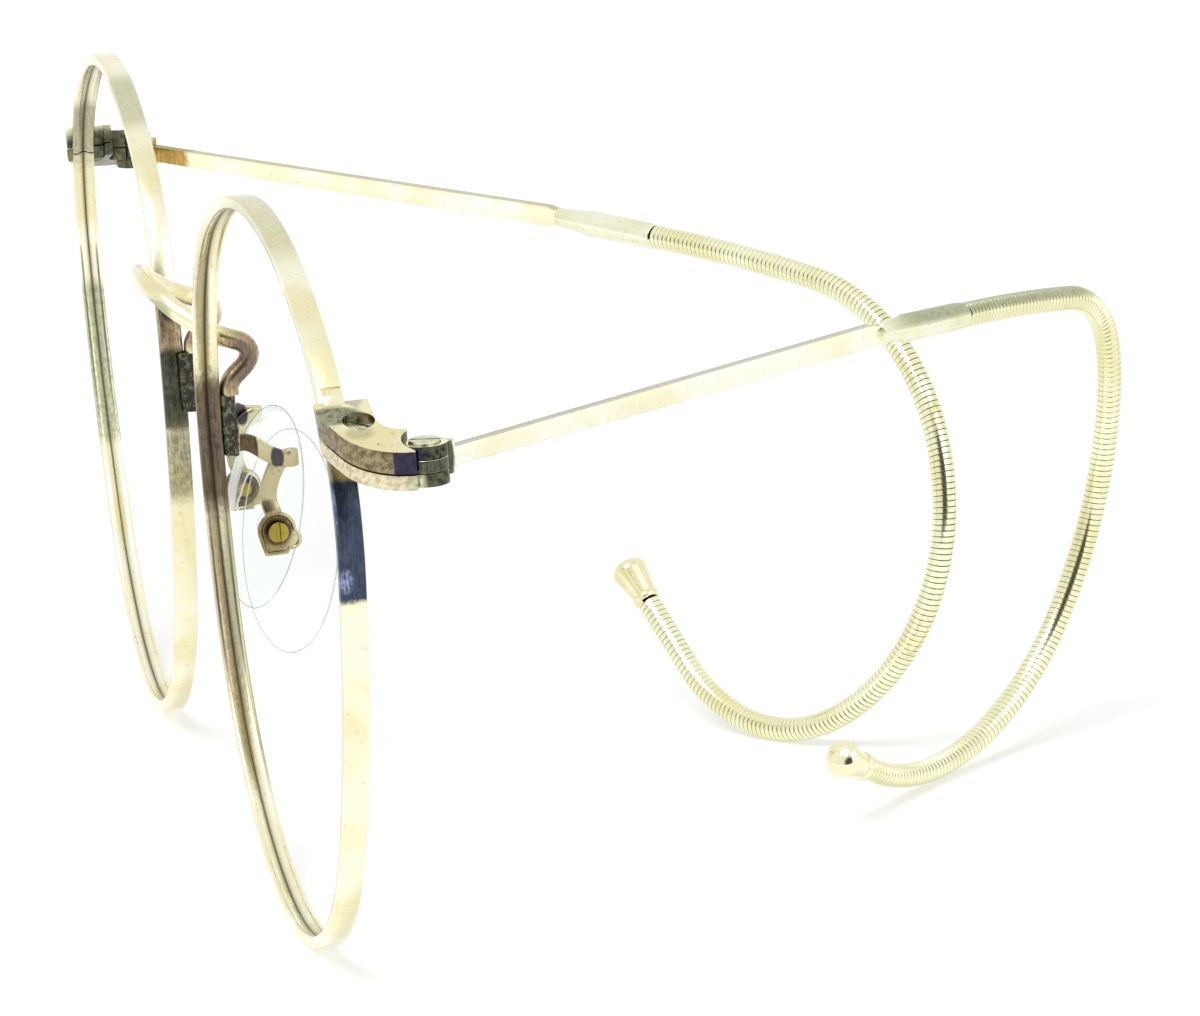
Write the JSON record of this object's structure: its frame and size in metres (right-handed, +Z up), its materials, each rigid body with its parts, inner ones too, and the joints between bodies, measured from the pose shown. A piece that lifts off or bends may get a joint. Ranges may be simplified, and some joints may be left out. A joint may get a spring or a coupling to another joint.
{
  "type": "eyeglass frame",
  "caption": "Round full-rim metal eyeglass frame with a hooked saddle bridge, rocking nose pads and folding temples that end in wound cable ear hooks.",
  "frame": {"origin": "under the middle of the part's box, on the surface it stands on", "axes": "+X towards the wearer's left, -Y is the way the wearer looks, +Z up"},
  "size_m": [0.1262, 0.0696, 0.051],
  "materials": {
    "gold_metal": "pale polished gold plate, tarnished brown and violet beside the solder joints",
    "wound_wire": "polished gold plated wire, close wound",
    "core_wire": "drawn wire",
    "tarnished_solder": "dark mottled solder",
    "brass_screw": "satin brass",
    "screw_steel": "worn plated screw heads",
    "clear_plastic": "clear moulded acetate with a pale green edge"
  },
  "bodies": {
    "front": {"rim_left": "gold_metal", "rim_right": "gold_metal", "bridge": "gold_metal", "block_left": "tarnished_solder", "block_right": "tarnished_solder", "pad_arm_left": "gold_metal", "pad_arm_right": "gold_metal", "end_piece_upper_left": "gold_metal", "end_piece_upper_right": "gold_metal", "end_piece_lower_left": "gold_metal", "end_piece_lower_right": "gold_metal", "closing_screw_left": "screw_steel", "closing_screw_right": "screw_steel", "hinge_screw_left": "screw_steel", "hinge_screw_right": "screw_steel"},
    "temple_left": {"blade_left": "gold_metal", "ferrule_left": "gold_metal", "core_left": "core_wire", "winding_left": "wound_wire", "bead_left": "gold_metal"},
    "temple_right": {"blade_right": "gold_metal", "ferrule_right": "gold_metal", "core_right": "core_wire", "winding_right": "wound_wire", "bead_right": "gold_metal"},
    "pad_left": {"pad_left": "clear_plastic", "pad_screw_left": "brass_screw"},
    "pad_right": {"pad_right": "clear_plastic", "pad_screw_right": "brass_screw"}
  },
  "joints": [
    {"name": "temple_left_fold", "type": "hinge", "parent": "front", "child": "temple_left", "pos_m": [0.06164, -0.02581, 0.03866], "axis": [0, 0.0195, 0.9998], "range_deg": [-41.7, 4]},
    {"name": "temple_right_fold", "type": "hinge", "parent": "front", "child": "temple_right", "pos_m": [-0.06164, -0.02581, 0.03866], "axis": [0, -0.0195, -0.9998], "range_deg": [-58.9, 28]},
    {"name": "pad_left_rock", "type": "hinge", "parent": "front", "child": "pad_left", "pos_m": [0.0075, -0.02743, 0.02224], "axis": [1, 0, 0], "range_deg": [-10, 10]},
    {"name": "pad_right_rock", "type": "hinge", "parent": "front", "child": "pad_right", "pos_m": [-0.0075, -0.02743, 0.02224], "axis": [1, 0, 0], "range_deg": [-10, 10]}
  ]
}
